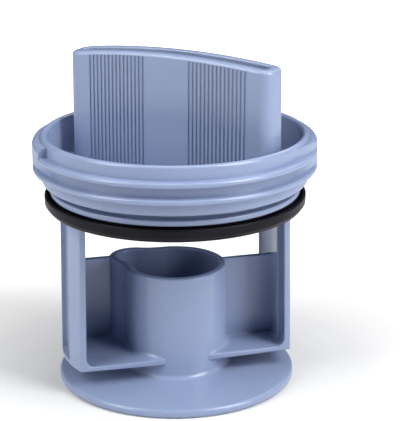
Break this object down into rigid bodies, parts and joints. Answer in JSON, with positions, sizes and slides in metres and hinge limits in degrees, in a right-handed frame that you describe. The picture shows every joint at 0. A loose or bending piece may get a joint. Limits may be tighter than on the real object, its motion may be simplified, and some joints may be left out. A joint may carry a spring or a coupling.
{
  "type": "drain pump filter",
  "caption": "Pump filter plug with a ribbed hollow grip, a threaded cap, a rubber seal, an open cage with a lobed suction tube and a round base disk.",
  "frame": {"origin": "centre of the base disk's underside, on the common axis of the disk, the seal and the thread", "axes": "+Z along the axis from the base disk to the grip, X along the grip, Y across the grip. The cage, the suction tube and the thread are turned by 43.5 degrees from X about Z"},
  "size_m": [0.0708, 0.0708, 0.0841],
  "materials": {
    "moulded_body": "satin moulded polypropylene, grey-blue",
    "seal_rubber": "matt black rubber with a dusty bloom"
  },
  "bodies": {
    "root": {"filter_body": "moulded_body", "seal_ring": "seal_rubber"}
  },
  "joints": []
}
